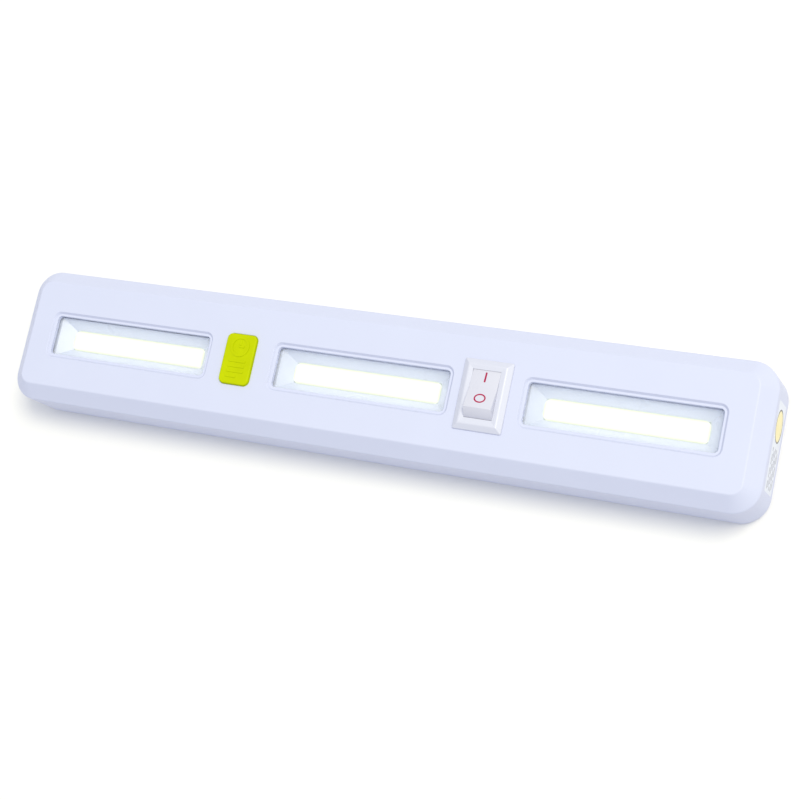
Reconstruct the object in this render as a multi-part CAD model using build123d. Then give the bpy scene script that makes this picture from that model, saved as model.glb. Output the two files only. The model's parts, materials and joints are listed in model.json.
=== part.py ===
from build123d import *
import os
from math import atan2, cos, degrees, radians, sin, tan

# A battery work light: a long shallow bar with three recessed lights in its face, a soft timer button and
# a rocker switch. +Z points out of the lit face, X runs along the bar and Y across it. The origin is the
# middle of the back, which the bar lies on, so z = 0 is the back. All sizes are in millimetres.

# ---------------------------------------------------------------- driving dimensions: the shell
body_length = 243.3         # over the side walls, at the parting line
body_width = 43.3
body_height = 22.0          # from the back to the lit face
body_corner = 8.25          # plan radius of the four corners
parting_z = 1.7             # lower edge of the front housing
wall = 2.0
draft = 0.25                # each side wall leans in by this much on its way up to the bevel
bevel_drop = 4.4            # the bevel between side wall and face: its height and its run
bevel_run = 4.5

# ---------------------------------------------------------------- driving dimensions: the three lights
light_pitch = 80.35         # from one window's centre to the next
window_length = 59.0        # outer edge of the stepped window
window_width = 15.1
window_corner = 2.6
ledge = 1.3                 # width of the step inside that edge
ledge_depth = 0.7
ledge_slope = 0.6           # the step down to it leans in by this much
lens_length = 60.0
lens_width = 16.4
lens_thickness = 1.2
funnel_length = 56.0        # mouth of the reflector, under the lens
funnel_width = 12.4
slot_length = 47.8          # floor of the reflector, round the lamp
slot_width = 6.2
slot_depth = 7.0            # below the lit face
reflector_sheet = 1.2       # thickness of the reflector's flange and foot
foot_length = 54.0
foot_width = 31.0
led_board = (60.0, 9.0, 1.0)
phosphor = (47.0, 5.6, 0.6)

# ---------------------------------------------------------------- driving dimensions: the controls
button_x, button_y = -40.5, 0.3  # middle of the button's cap
switch_x = 39.8                 # middle of the switch's bezel
rocker_y = 0.3                  # middle of its well
button_length = 15.7            # along Y
button_width = 10.1
button_corner = 2.0
button_rise = 0.9               # above the face
button_gap = 0.25               # all round, in the face
bezel_length = 21.0
bezel_width = 15.0
bezel_rise = 1.6
bezel_slope = 1.7               # width of the sloping outer band of the bezel
bezel_edge = 0.5                # upright outer edge of the bezel
well_length = 14.6
well_width = 8.7
well_lip = 0.45                 # the well's upright edge, above the wider box
switch_length = 19.0            # the switch's box behind the face
switch_width = 13.0
switch_depth = 10.5
rocker_radius = 8.4             # ends of the rocker, about its pivot
rocker_pivot = 3.44             # depth of the pivot below the face
rocker_throw = 12.9             # degrees to either side of level
rocker_width = 8.5
blade_throw = 6.45              # degrees to either side of level

# ---------------------------------------------------------------- driving dimensions: back and battery
rim_inset = 0.6                 # rear cover's edge, inside the housing's
rim_height = 1.4
rim_chamfer = 0.4
lip_gap = 0.15                  # between the cover's standing lip and the housing's wall
lip_thickness = 1.2
lip_top = 4.2
cell_diameter = 10.5            # AAA
cell_length = 44.5
cell_nub = 0.8
cell_pitch = 10.9
cell_z = 7.0
bay_length = 50.5               # inside
bay_width = 33.0
bay_roof = 12.5
bay_wall = 1.5
bay_roof_thickness = 1.0
door_length = 53.2              # along X
door_thickness = 1.4
door_play = 0.3
tongue = (1.0, 0.45)            # the door's guiding tongues: how far they stand out, and their thickness
tongue_z = 0.5
door_inner_end = -17.6          # y of the end that stays inside
plate_thickness = 0.4
spring_radius = 3.0
spring_wire = 0.25
hook_x = 95.0                   # the two keyholes
hook_head_r = 4.0
hook_slot_width = 4.0
hook_slot_length = 7.0
hook_y = -3.0
magnet_x = 62.0
magnet_r = 5.0
magnet_thickness = 3.0
recess_floor = 2.2              # seat of a housing screw's head
cover_boss_top = 3.4
housing_screws_at = ((112.0, 13.0), (50.0, 14.5))
board_posts_y = (-13.0, 13.0)    # the two posts that hold the timer's board
reflector_screw_at = (20.0, 12.6)
post_r = 2.5                    # posts behind the face that take a reflector's screws
pillar_r = 2.75                 # posts that take the housing's screws
board_post_r = 2.0
# A screw: radius and height of its head, radius and length of its shank, radius of the hole it bites in.
housing_screw = (2.1, 1.6, 1.15, 8.0, 1.17)
reflector_screw = (1.9, 1.2, 0.9, 4.0, 0.92)
board_screw = (1.8, 1.1, 0.85, 5.5, 0.87)

# ---------------------------------------------------------------- values worked out from those
face_z = body_height
ceiling_z = face_z - wall                               # inner side of the face
bevel_z = face_z - bevel_drop
lens_z = ceiling_z - lens_thickness
slot_z = face_z - slot_depth
flange_z = lens_z - reflector_sheet
bevel_lean = degrees(atan2(bevel_run, bevel_drop))
wall_lean = degrees(atan2(draft, bevel_z - parting_z))
step_lean = degrees(atan2(ledge_slope, ledge_depth))
light_centres = {"left": -light_pitch, "middle": 0.0, "right": light_pitch}
pivot_z = face_z - rocker_pivot
blade_z = 14.0
signs = (-1, 1)
leads_r = 0.6

os.makedirs("parts", exist_ok=True)
made = []


# ---------------------------------------------------------------- small helpers
def rounded(length, width, radius, z, x=0.0, y=0.0):
    """A rounded rectangle, lying flat at height z."""
    return Pos(x, y, z) * RectangleRounded(length, width, radius)


def plate(length, width, radius, low, high, x=0.0, y=0.0):
    """A flat plate with rounded corners, from height low to height high."""
    return extrude(rounded(length, width, radius, low, x, y), amount=high - low)


def block(x0, x1, y0, y1, z0, z1):
    """A box between two corners."""
    return Pos((x0 + x1) / 2, (y0 + y1) / 2, (z0 + z1) / 2) * Box(x1 - x0, y1 - y0, z1 - z0)


def post(x, y, radius, low, high):
    """An upright cylinder from height low to height high."""
    return Pos(x, y, (low + high) / 2) * Cylinder(radius, high - low)


def funnel(lower, upper):
    """A solid with four flat sides, between two plain rectangles (length, width, height z, x)."""
    ends = [(Pos(x, 0, z) * Rectangle(length, width)).face() for length, width, z, x in (lower, upper)]
    return loft(ends, ruled=True)


def save(name, shape):
    """Writes one sub-part to its own file, with a plain list of its solids where there are several."""
    solids = shape.solids()
    out = solids[0] if len(solids) == 1 else Compound(children=list(solids))
    out.label = name
    export_step(out, f"parts/{name}.step")
    made.append(name)


def four(x, y):
    """The four places that mirror (x, y) about both middle lines."""
    return [(sx * x, sy * y) for sx in signs for sy in signs]


# ---------------------------------------------------------------- front housing
def tub(inset, low, top):
    """The body's outer form drawn in by inset, as one solid from height low to height top."""
    foot_z = bevel_z - inset * tan(radians(bevel_lean / 2))
    length, width, corner = body_length - 2 * inset, body_width - 2 * inset, body_corner - inset
    side = extrude(rounded(length, width, corner, low), amount=foot_z - low, taper=wall_lean)
    lean = draft * (foot_z - low) / (bevel_z - parting_z)
    foot = rounded(length - 2 * lean, width - 2 * lean, corner - lean, foot_z)
    return side + extrude(foot, amount=top - foot_z, taper=bevel_lean)


def wall_x(z):
    """x of the right end wall's outer face at height z."""
    return body_length / 2 - (z - parting_z) * tan(radians(wall_lean))


label_size = (25.6, 11.0)       # along Y and up the wall
label_centre = (-0.5, 9.3)
label_thickness = 0.12


def label_block(thickness, margin):
    """The label's sheet on the right end wall, which leans by the wall's draft."""
    y, z = label_centre
    sheet = Box(thickness, label_size[0] + margin, label_size[1] + margin)
    return Pos(wall_x(z), y, z) * Rot(0, -wall_lean, 0) * Pos(-thickness / 2, 0, 0) * sheet


def front_housing():
    """The white shell: face, bevel and side walls in one moulding, open at the back."""
    shell = tub(0, parting_z, face_z) - tub(wall, parting_z, ceiling_z)
    for centre in light_centres.values():
        frame = plate(lens_length + 2.8, lens_width + 2.8, 3.2, lens_z, ceiling_z, centre)
        frame -= plate(lens_length + 0.4, lens_width + 0.4, 2.2, lens_z, ceiling_z, centre)
        shell += frame
        inner_length, inner_width = window_length - 2 * ledge, window_width - 2 * ledge
        shell -= plate(inner_length, inner_width, window_corner - 0.8, lens_z, face_z, centre)
        step = rounded(window_length - 2 * ledge_slope, window_width - 2 * ledge_slope,
                       window_corner - ledge_slope, face_z - ledge_depth, centre)
        shell -= extrude(step, amount=ledge_depth, taper=-step_lean)
        for x, y in four(*reflector_screw_at):
            shell += post(centre + x, y, post_r, slot_z + reflector_sheet, ceiling_z)
            shell -= post(centre + x, y, reflector_screw[4], slot_z + reflector_sheet, ceiling_z - 0.8)
    hole = (button_width + 2 * button_gap, button_length + 2 * button_gap, button_corner + button_gap)
    shell -= plate(*hole, ceiling_z, face_z, button_x, button_y)
    shell -= plate(switch_width + 0.3, switch_length + 0.3, 0.6, ceiling_z, face_z, switch_x)
    for place in housing_screws_at:
        for x, y in four(*place):
            shell += post(x, y, pillar_r, cover_boss_top, ceiling_z + 0.5) & tub(0.5, parting_z, face_z - 0.5)
            shell -= post(x, y, housing_screw[4], cover_boss_top, recess_floor + housing_screw[3] + 0.8)
    for y in board_posts_y:
        shell += post(button_x, y, board_post_r, board_top, ceiling_z)
        shell -= post(button_x, y, board_screw[4], board_top, ceiling_z - 1.2)
    pocket = label_block(label_thickness, 0.0)
    return shell - pocket - Pos(label_thickness, 0, 0) * pocket


# ---------------------------------------------------------------- lights
def lens(centre):
    """A clear flat plate that closes a window from inside."""
    return plate(lens_length, lens_width, 2.0, lens_z, ceiling_z, centre)


def reflector(centre):
    """A bright funnel with a flange under the lens, and a foot that carries the LED board and the screws."""
    sheet = 1.0
    throat = slot_z + 0.4
    cup = plate(lens_length + 2.8, lens_width + 2.8, 3.2, flange_z, lens_z, centre)
    cup += funnel((slot_length + 2 * sheet, slot_width + 2 * sheet, slot_z, centre),
                  (funnel_length + 2 * sheet, funnel_width + 2 * sheet, lens_z, centre))
    cup += plate(foot_length, foot_width, 3.0, slot_z, slot_z + reflector_sheet, centre)
    cup -= funnel((slot_length, slot_width, throat, centre), (funnel_length, funnel_width, lens_z, centre))
    cup -= plate(slot_length, slot_width, 0.3, slot_z, throat, centre)
    for x, y in four(*reflector_screw_at):
        cup -= post(centre + x, y, 1.1, slot_z, slot_z + reflector_sheet)
    return cup


def cob_board(centre):
    """The lamp's white board, glued behind the reflector's foot."""
    length, width, thickness = led_board
    return plate(length, width, 0.6, slot_z - thickness, slot_z, centre)


def cob_phosphor(centre):
    """The lamp's yellow gel strip, which stands up in the reflector's slot."""
    length, width, thickness = phosphor
    return plate(length, width, 2.0, slot_z, slot_z + thickness, centre)


def pan_screw(x, y, seat, screw_size):
    """A pan-head screw driven upwards: its head is below seat, with a cross recess."""
    head_r, head, shank_r, length, _ = screw_size
    screw = post(x, y, head_r, seat - head, seat) + post(x, y, shank_r, seat, seat + length)
    arm = head_r * 0.62
    slot = 0.28 * head_r
    for along_x in (True, False):
        dx, dy = (arm, slot / 2) if along_x else (slot / 2, arm)
        screw -= block(x - dx, x + dx, y - dy, y + dy, seat - head, seat - head * 0.45)
    return screw


# ---------------------------------------------------------------- timer button and its board
board_top = 13.2
board_thickness = 1.2
board_width = 13.0
board_length = 30.8
tact_side = 6.0
tact_top = board_top + 3.5
plunger_top = board_top + 4.3
stem_gap = 0.1


def timer_button():
    """A lime cap with a flange that keeps it behind the face, and a stem that meets the tact switch."""
    top = face_z + button_rise
    flange_top = ceiling_z - 0.1
    place = (button_x, button_y)
    cap = plate(button_width, button_length, button_corner, flange_top - 1.0, top, *place)
    cap = fillet(cap.faces().sort_by(Axis.Z)[-1].edges(), 0.45)
    cap += plate(button_width + 1.9, button_length + 1.9, button_corner + 0.6, flange_top - 1.0, flange_top, *place)
    cap -= plate(button_width - 2.4, button_length - 2.4, 1.2, flange_top - 1.0, top - 1.3, *place)
    return cap + post(button_x, 0, 1.6, plunger_top + stem_gap, top - 1.0)


def timer_board():
    """The small circuit board that hangs under the button on two posts."""
    board = plate(board_width, board_length, 0.8, board_top - board_thickness, board_top, button_x)
    for y in board_posts_y:
        board -= post(button_x, y, 1.1, board_top - board_thickness, board_top)
    return board


def tact_switch():
    """Body of the push switch on the board, with a round well for its plunger."""
    body = plate(tact_side, tact_side, 0.3, board_top, tact_top, button_x)
    return body - post(button_x, 0, 1.8, board_top + 2.0, tact_top)


def tact_plunger():
    """The round plunger of the push switch."""
    return post(button_x, 0, 1.7, board_top + 2.8, plunger_top)


def timer_chip():
    """An eight-legged timer chip."""
    x, y = button_x, 7.8
    chip = block(x - 2.45, x + 2.45, y - 1.95, y + 1.95, board_top + 0.15, board_top + 1.6)
    for step in (-1.5, -0.5, 0.5, 1.5):
        for side in signs:
            leg_x = x + step * 1.27
            tip, root = y + side * 3.0, y + side * 1.95
            chip += block(leg_x - 0.2, leg_x + 0.2, min(tip, root), max(tip, root), board_top, board_top + 0.4)
    return chip


# The board's small components: x and y from the middle of the button, length, width and height.
chip_resistor, capacitor = (1.25, 2.0, 0.5), (1.6, 3.2, 1.2)
transistor, sense_resistor = (2.9, 1.3, 1.0), (3.2, 1.6, 0.6)
components_at = (
    (-4.0, -6.2, chip_resistor), (-1.6, -6.2, chip_resistor), (0.8, -6.2, chip_resistor),
    (4.2, -8.4, capacitor), (-3.0, -9.2, transistor), (1.2, -9.2, sense_resistor),
)


def board_components():
    """Chip resistors, a capacitor and a transistor, each a solid of its own."""
    parts = Part()
    for x, y, (length, width, height) in components_at:
        centre = x + button_x
        low, high = board_top, board_top + height
        parts += block(centre - length / 2, centre + length / 2, y - width / 2, y + width / 2, low, high)
    return parts


# ---------------------------------------------------------------- rocker switch
def switch_body():
    """The switch's box with its raised bezel, the well that the rocker tilts in and two side clips."""
    box_floor = face_z - switch_depth
    bezel_top = face_z + bezel_rise
    lip_z = bezel_top - well_lip
    slope = funnel((bezel_width, bezel_length, face_z + bezel_edge, switch_x),
                   (bezel_width - 2 * bezel_slope, bezel_length - 2 * bezel_slope, bezel_top, switch_x))
    body = plate(bezel_width, bezel_length, 0.3, face_z, face_z + bezel_edge, switch_x) + slope
    body += plate(switch_width, switch_length, 0.5, box_floor, face_z, switch_x)
    body -= plate(switch_width - 2.0, switch_length - 1.5, 0.4, box_floor + 1.0, face_z + 0.9, switch_x, rocker_y)
    body -= plate(well_width + 0.2, switch_length - 1.5, 0.3, face_z, lip_z, switch_x, rocker_y)
    body -= plate(well_width, well_length, 0.3, face_z, bezel_top, switch_x, rocker_y)
    body -= Pos(switch_x, rocker_y, pivot_z) * Rot(0, 90, 0) * Cylinder(1.25, switch_width - 0.4)
    for side in signs:
        near, far = sorted((side * switch_length / 2, side * (switch_length / 2 + 0.6)))
        body += block(switch_x - 2.5, switch_x + 2.5, near, far, ceiling_z - 1.8, ceiling_z - 0.1)
    for y in (rocker_y, rocker_y - 7.0):
        body -= block(switch_x - 2.4, switch_x + 2.4, y - 0.4, y + 0.4, box_floor, box_floor + 1.0)
    return body


def as_set(shape, pivot_height, tilt):
    """Turns a shape drawn about its own pivot to its rest position in the switch."""
    return Pos(switch_x, rocker_y, pivot_height) * Rot(tilt, 0, 0) * shape


def rocker_profile():
    """The rocker seen from its side: a shallow V on top, ends that are arcs about the pivot, a flat base."""
    edge_angle, lower_angle = radians(47.1), radians(20.0)
    middle_angle = (edge_angle + lower_angle) / 2
    valley = 2.1 + rocker_pivot
    base = 1.6

    def on_arc(angle, side):
        return (side * rocker_radius * cos(angle), rocker_radius * sin(angle))

    right = ThreePointArc(on_arc(edge_angle, 1), on_arc(middle_angle, 1), on_arc(lower_angle, 1))
    left = ThreePointArc(on_arc(lower_angle, -1), on_arc(middle_angle, -1), on_arc(edge_angle, -1))
    over = Polyline(on_arc(edge_angle, -1), (0, valley), on_arc(edge_angle, 1))
    under = Polyline(on_arc(lower_angle, 1), (6.8, base), (-6.8, base), on_arc(lower_angle, -1))
    return make_face(Plane.YZ * (over + right + under + left))


def switch_rocker():
    """The rocker with its hub, two pivot pins and the hollow stem that holds spring and plunger."""
    rocker = extrude(rocker_profile(), amount=rocker_width / 2, both=True)
    rocker += Rot(0, 90, 0) * Cylinder(2.0, rocker_width)
    rocker += Rot(0, 90, 0) * Cylinder(1.2, switch_width - 0.6)
    rocker += post(0, 0, 1.9, -3.2, 1.6)
    rocker -= post(0, 0, 1.25, -3.2, 0.8)
    return as_set(rocker, pivot_z, -rocker_throw)


def rocker_plunger():
    """The round-nosed pin that the spring pushes at the contact blade."""
    pin = post(0, 0, 1.15, -3.05, -1.8) + Pos(0, 0, -3.05) * Sphere(1.15)
    return as_set(pin, pivot_z, -rocker_throw)


def coil(radius, wire, pitch, height):
    """A round-wire coil about +Z, from height 0."""
    path = Helix(pitch=pitch, height=height, radius=radius)
    return sweep(Plane(origin=path @ 0, z_dir=path % 0) * Circle(wire), path)


def rocker_spring():
    """The spring in the rocker's stem."""
    wire = 0.15
    return as_set(Pos(0, 0, -1.8 + wire + 0.02) * coil(0.85, wire, 0.72, 2.16), pivot_z, -rocker_throw)


def contact_blade():
    """The tipping contact that joins the middle terminal to the outer one."""
    blade = block(-2.0, 2.0, -6.8, 6.8, -0.25, 0.25)
    blade -= block(-2.0, 2.0, -0.5, 0.5, -0.25, -0.1)
    return as_set(blade, blade_z, blade_throw)


def switch_terminals():
    """The two tabs under the switch: the middle one carries the blade, the outer one is its contact."""
    left, right = switch_x - 2.38, switch_x + 2.38
    middle = block(left, right, rocker_y - 0.38, rocker_y + 0.38, 6.0, 12.7)
    middle += block(switch_x - 1.6, switch_x + 1.6, rocker_y - 0.2, rocker_y + 0.2, 12.7, blade_z - 0.35)
    outer = block(left, right, rocker_y - 7.38, rocker_y - 6.62, 6.0, 12.7)
    return Part() + [middle, outer]


# ---------------------------------------------------------------- back: cover, door, cells and contacts
cover_width = body_width - 2 * rim_inset
lip_outer = wall + lip_gap


def slab(inset, low, high):
    """A plate of the body's own outline drawn in by inset."""
    return plate(body_length - 2 * inset, body_width - 2 * inset, body_corner - inset, low, high)


def keyhole(x):
    """A hanging hole: a round entry for a screw's head, with a narrower slot above it."""
    entry = post(x, hook_y, hook_head_r, 0, parting_z)
    slot = block(x - hook_slot_width / 2, x + hook_slot_width / 2, hook_y, hook_y + hook_slot_length, 0, parting_z)
    return entry + slot + post(x, hook_y + hook_slot_length, hook_slot_width / 2, 0, parting_z)


def rear_cover():
    """The flat back with its rim, standing lip, battery bay, door track, screw seats and magnet pockets."""
    rim = slab(rim_inset, 0, rim_height)
    rim = chamfer(rim.faces().sort_by(Axis.Z)[0].edges(), rim_chamfer)
    cover = rim + slab(2 * rim_inset, rim_height, parting_z)
    cover += slab(lip_outer, parting_z, lip_top) - slab(lip_outer + lip_thickness, parting_z, lip_top)
    track = door_length / 2 + door_play
    groove = track + tongue[0]
    lip_y = body_width / 2 - lip_outer
    half_x, half_y = bay_length / 2, bay_width / 2
    cover += block(-groove - 0.9, groove + 0.9, -lip_y, lip_y, rim_height, 2.9)
    outside_x, outside_y = half_x + bay_wall, half_y + bay_wall
    cover += block(-outside_x, outside_x, -outside_y, outside_y, rim_height, bay_roof + bay_roof_thickness)
    cover -= block(-half_x, half_x, -half_y, half_y, 0, bay_roof)
    beyond = body_width
    inner_end = door_inner_end - door_play
    cover -= block(-track, track, inner_end, beyond, 0, door_thickness + 0.1)
    cover -= block(-groove, groove, inner_end, beyond, tongue_z - 0.1, tongue_z + tongue[1] + 0.1)
    cover -= block(-track, track, lip_y, beyond, 0, parting_z)
    for place in housing_screws_at:
        for x, y in four(*place):
            cover += post(x, y, 3.5, rim_height, cover_boss_top)
            cover -= post(x, y, 2.5, 0, recess_floor) + post(x, y, 1.35, recess_floor, cover_boss_top)
    for side in signs:
        cover += post(side * magnet_x, 0, magnet_r + 1.5, rim_height, magnet_thickness + 1.2)
        cover -= post(side * magnet_x, 0, magnet_r + 0.02, 0, magnet_thickness + 0.1)
        cover -= keyhole(side * hook_x)
    for x0, x1, y in tab_slots:
        cover -= block(x0, x1, y - tab_width / 2, y + tab_width / 2, tab_z, tab_z + plate_thickness)
    return cover


def battery_door():
    """The door slides out sideways on two tongues. Its outer end is a length of the cover's rim."""
    edge = cover_width / 2
    half = door_length / 2
    door = block(-half, half, door_inner_end, edge, 0, door_thickness)
    outer_edge = door.faces().sort_by(Axis.Y)[-1].edges().sort_by(Axis.Z)[0]
    door = chamfer(outer_edge, rim_chamfer)
    for side in signs:
        near, far = sorted((side * half, side * (half + tongue[0])))
        door += block(near, far, door_inner_end, edge - 4.0, tongue_z, tongue_z + tongue[1])
    for row in range(6):
        y = 8.0 + 1.6 * row
        door -= plate(16.0, 0.7, 0.3, 0, 0.35, 0, y)
    return door


# Cells 1 and 3 have their plus end at +X, and cell 2 at -X, so that the three are in series.
cell_rows = {1: (cell_pitch, 1), 2: (0.0, -1), 3: (-cell_pitch, 1)}
contact_x = bay_length / 2 - plate_thickness
tab_width = 2.0
tab_z = 9.6
tab_reach = 1.1
tab_slots = [
    (bay_length / 2, bay_length / 2 + bay_wall, cell_pitch),
    (-bay_length / 2 - bay_wall, -bay_length / 2, -cell_pitch),
]


def cell(y, plus):
    """An AAA cell along X, with its plus nub at the end that plus points to."""
    lying = Rot(0, 90, 0)
    can_length = cell_length - cell_nub
    plus_end = plus * contact_x
    can_middle = plus_end - plus * (cell_nub + can_length / 2)
    can = Pos(can_middle, y, cell_z) * lying * Cylinder(cell_diameter / 2, can_length)
    nub = Pos(plus_end - plus * cell_nub / 2, y, cell_z) * lying * Cylinder(1.9, cell_nub)
    minus_face = plus_end - plus * cell_length
    can -= Pos(minus_face, y, cell_z) * lying * (Cylinder(cell_diameter / 2, 0.6) - Cylinder(4.4, 0.6))
    return can + nub


def battery_plates():
    """Four sprung-steel plates at the bay's ends: two carry a wire's tab, and two bridge a pair of cells."""
    low, high = 2.6, 11.4
    half = 4.0
    sheets = Part()
    for end, spans in ((1, ((cell_pitch, cell_pitch), (-cell_pitch, 0.0))),
                       (-1, ((-cell_pitch, -cell_pitch), (0.0, cell_pitch)))):
        inner, outer = sorted((end * contact_x, end * bay_length / 2))
        for first, last in spans:
            sheet = block(inner, outer, first - half, last + half, low, high)
            if first == last:
                root, tip = sorted((end * contact_x, end * (bay_length / 2 + bay_wall + tab_reach)))
                sheet += block(root, tip, first - tab_width / 2, first + tab_width / 2, tab_z, tab_z + plate_thickness)
            sheets += sheet
    return sheets


def battery_springs():
    """The coil behind the minus end of each cell."""
    gap = 2 * contact_x - cell_length
    coils = Part()
    for y, plus in cell_rows.values():
        start = -plus * contact_x
        spring = coil(spring_radius, spring_wire, 1.25, gap - 2 * spring_wire - 0.1)
        turn = Rot(0, 90 * plus, 0)
        coils += Pos(start + plus * (spring_wire + 0.05), y, cell_z) * turn * spring
    return coils


# ---------------------------------------------------------------- wires
def lead(points):
    """A wire through the points, rounded at each corner as widely as its two runs allow."""
    corners = []
    for before, at, after in zip(points, points[1:], points[2:]):
        first, second = Vector(at) - Vector(before), Vector(after) - Vector(at)
        half_turn = radians(first.get_angle(second) / 2)
        corners.append(0.45 * min(first.length, second.length) / tan(half_turn))
    path = FilletPolyline(*points, radius=corners) if corners else Line(*points)
    return sweep(Plane(origin=path @ 0, z_dir=path % 0) * Circle(leads_r), path)


def wires():
    """Every wire inside the bar, by name."""
    above_board = slot_z + leads_r
    left, right = button_x, switch_x
    side_y = 17.3
    board_bottom = board_top - board_thickness
    tab_end = bay_length / 2 + bay_wall + tab_reach - 0.3
    routes = {
        "battery_lead_positive": [
            (tab_end, cell_pitch, tab_z - leads_r), (30.5, cell_pitch, tab_z - leads_r),
            (34.0, 7.0, 8.0), (right, 3.8, 7.2), (right, rocker_y + 0.38, 7.2)],
        "battery_lead_negative": [
            (-tab_end, -cell_pitch, tab_z - leads_r), (-31.5, -cell_pitch, 8.6),
            (-35.6, -cell_pitch, 8.6), (-35.6, -cell_pitch, board_bottom)],
        "switch_lead": [
            (right, rocker_y - 7.38, 7.2), (right, -11.5, 7.2), (38.0, -15.0, 9.5), (33.0, -side_y, 13.0),
            (27.0, -side_y, 15.0), (-28.0, -side_y, 15.0), (-32.5, -15.6, 15.6), (-35.6, -13.4, 15.8),
            (-35.6, -13.4, board_top)],
    }
    for side, colour in ((1, "red"), (-1, "black")):
        pad_y, post_y, round_y = side * 2.2, side * 4.2, side * 11.4
        for place, way, pad_x in (("left", -1, -light_pitch + 28.6), ("middle", 1, -28.6)):
            start = left + 5.0 * way
            routes[f"light_lead_{place}_{colour}"] = [
                (start, post_y, board_top), (start, post_y, above_board + 0.1), (pad_x, pad_y, above_board)]
        routes[f"light_lead_right_{colour}"] = [
            (28.6, pad_y, above_board), (30.6, side * 5.0, above_board + 0.2), (32.4, round_y, above_board),
            (48.0, round_y, above_board), (49.8, side * 5.0, above_board + 0.2), (51.8, pad_y, above_board)]
    return routes


# ---------------------------------------------------------------- every sub-part, written to its own file
save("front_housing", front_housing())
save("rear_cover", rear_cover())
save("battery_door", battery_door())
for place, centre in light_centres.items():
    save(f"lens_{place}", lens(centre))
    save(f"reflector_{place}", reflector(centre))
    save(f"cob_board_{place}", cob_board(centre))
    save(f"cob_phosphor_{place}", cob_phosphor(centre))

save("timer_button", timer_button())
save("timer_board", timer_board())
save("tact_switch", tact_switch())
save("tact_plunger", tact_plunger())
save("timer_chip", timer_chip())
save("board_components", board_components())

save("switch_body", switch_body())
save("switch_rocker", switch_rocker())
save("rocker_plunger", rocker_plunger())
save("rocker_spring", rocker_spring())
save("contact_blade", contact_blade())
save("switch_terminals", switch_terminals())

for number, (y, plus) in cell_rows.items():
    save(f"cell_{number}", cell(y, plus))
save("battery_plates", battery_plates())
save("battery_springs", battery_springs())
save("magnets", Part() + [post(side * magnet_x, 0, magnet_r, 0.1, 0.1 + magnet_thickness) for side in signs])
save("end_label", label_block(label_thickness, -0.1))

save("housing_screws", Part() + [
    pan_screw(x, y, recess_floor, housing_screw)
    for place in housing_screws_at for x, y in four(*place)])
save("reflector_screws", Part() + [
    pan_screw(centre + x, y, slot_z, reflector_screw)
    for centre in light_centres.values() for x, y in four(*reflector_screw_at)])
save("board_screws", Part() + [
    pan_screw(button_x, y, board_top - board_thickness, board_screw) for y in board_posts_y])

for name, points in wires().items():
    save(name, lead(points))

print(len(made), "sub-parts")
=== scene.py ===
# %% [markdown]
# # A battery work light
# The real object is a shallow white plastic bar with three recessed lamps, a soft timer button
# and a rocker switch. Every part of it already exists as a CAD solid with exact sizes, and those
# solids are the frame that this lesson builds on. We load them first. Nothing that we add may
# grow past it.

# %% Load the frame
import json
import math

import bmesh
import bpy
import numpy as np
from mathutils import Matrix, Vector

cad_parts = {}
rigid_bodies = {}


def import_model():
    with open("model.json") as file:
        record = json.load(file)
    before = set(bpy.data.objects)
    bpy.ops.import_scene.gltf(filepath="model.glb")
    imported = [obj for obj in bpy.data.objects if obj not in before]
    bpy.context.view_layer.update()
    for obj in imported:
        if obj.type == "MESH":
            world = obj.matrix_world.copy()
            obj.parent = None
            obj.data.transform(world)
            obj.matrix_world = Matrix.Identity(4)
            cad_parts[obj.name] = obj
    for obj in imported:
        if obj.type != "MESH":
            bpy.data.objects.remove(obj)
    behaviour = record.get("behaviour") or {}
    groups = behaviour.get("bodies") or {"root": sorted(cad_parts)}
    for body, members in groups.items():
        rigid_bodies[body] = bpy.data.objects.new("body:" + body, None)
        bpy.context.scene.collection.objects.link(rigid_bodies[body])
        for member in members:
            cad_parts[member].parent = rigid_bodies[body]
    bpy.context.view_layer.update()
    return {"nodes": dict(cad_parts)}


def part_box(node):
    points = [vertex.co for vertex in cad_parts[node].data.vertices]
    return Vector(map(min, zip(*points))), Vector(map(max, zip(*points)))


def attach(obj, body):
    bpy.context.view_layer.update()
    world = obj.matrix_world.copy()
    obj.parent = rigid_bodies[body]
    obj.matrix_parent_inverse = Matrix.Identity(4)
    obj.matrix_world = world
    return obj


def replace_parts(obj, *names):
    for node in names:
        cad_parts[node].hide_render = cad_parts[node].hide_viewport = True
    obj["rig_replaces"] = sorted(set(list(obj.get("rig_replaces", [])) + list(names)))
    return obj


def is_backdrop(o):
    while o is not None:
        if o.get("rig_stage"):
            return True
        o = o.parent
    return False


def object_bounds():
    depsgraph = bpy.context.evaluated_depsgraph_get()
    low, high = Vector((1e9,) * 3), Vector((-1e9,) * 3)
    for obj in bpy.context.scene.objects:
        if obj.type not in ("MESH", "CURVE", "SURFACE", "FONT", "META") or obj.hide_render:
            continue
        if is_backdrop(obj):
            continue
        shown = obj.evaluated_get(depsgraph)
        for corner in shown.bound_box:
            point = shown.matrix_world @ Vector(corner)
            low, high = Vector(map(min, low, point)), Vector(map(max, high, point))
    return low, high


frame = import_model()
nodes = frame["nodes"]

# %% [markdown]
# ## Sizes
# The bar's main sizes are read from the frame where a part's box gives them. What a box can't
# give, such as the slope of the bevel or a corner radius, is written here in millimetres, as in
# the CAD.

# %% Sizes in millimetres
MM = 0.001


def corners_mm(node):
    """Lowest and highest corner of a CAD part, as two arrays in millimetres."""
    low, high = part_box(node)
    return np.array(low) / MM, np.array(high) / MM


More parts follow.
